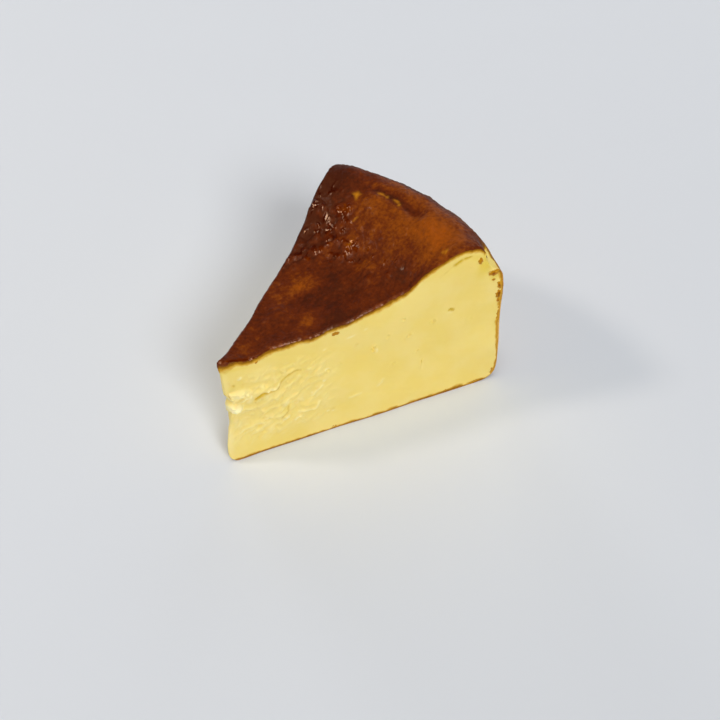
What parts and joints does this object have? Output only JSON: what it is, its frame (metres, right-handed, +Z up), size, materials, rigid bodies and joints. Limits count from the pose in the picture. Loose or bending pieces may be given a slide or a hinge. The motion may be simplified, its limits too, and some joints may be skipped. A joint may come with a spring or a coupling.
{
  "type": "basque cheesecake slice",
  "caption": "Wedge slice of basque cheesecake, tall pale creamy body under a dark, wrinkled, glossy crust that is sunken at the point and raised near the rounded rim.",
  "frame": {"origin": "middle of the slice's box on the flat face that it stands on", "axes": "+X from the point of the slice to its round wall, +Z up to the crust, the two cut faces on the -Y and +Y sides"},
  "size_m": [0.1005, 0.0773, 0.0643],
  "materials": {
    "cheesecake": "soft, moist set cream cheese, satin, under a dark caramel brown glossy crust on top and a thin amber brown skin on the wall and base"
  },
  "bodies": {
    "root": {"cheesecake_slice": "cheesecake"}
  },
  "joints": []
}
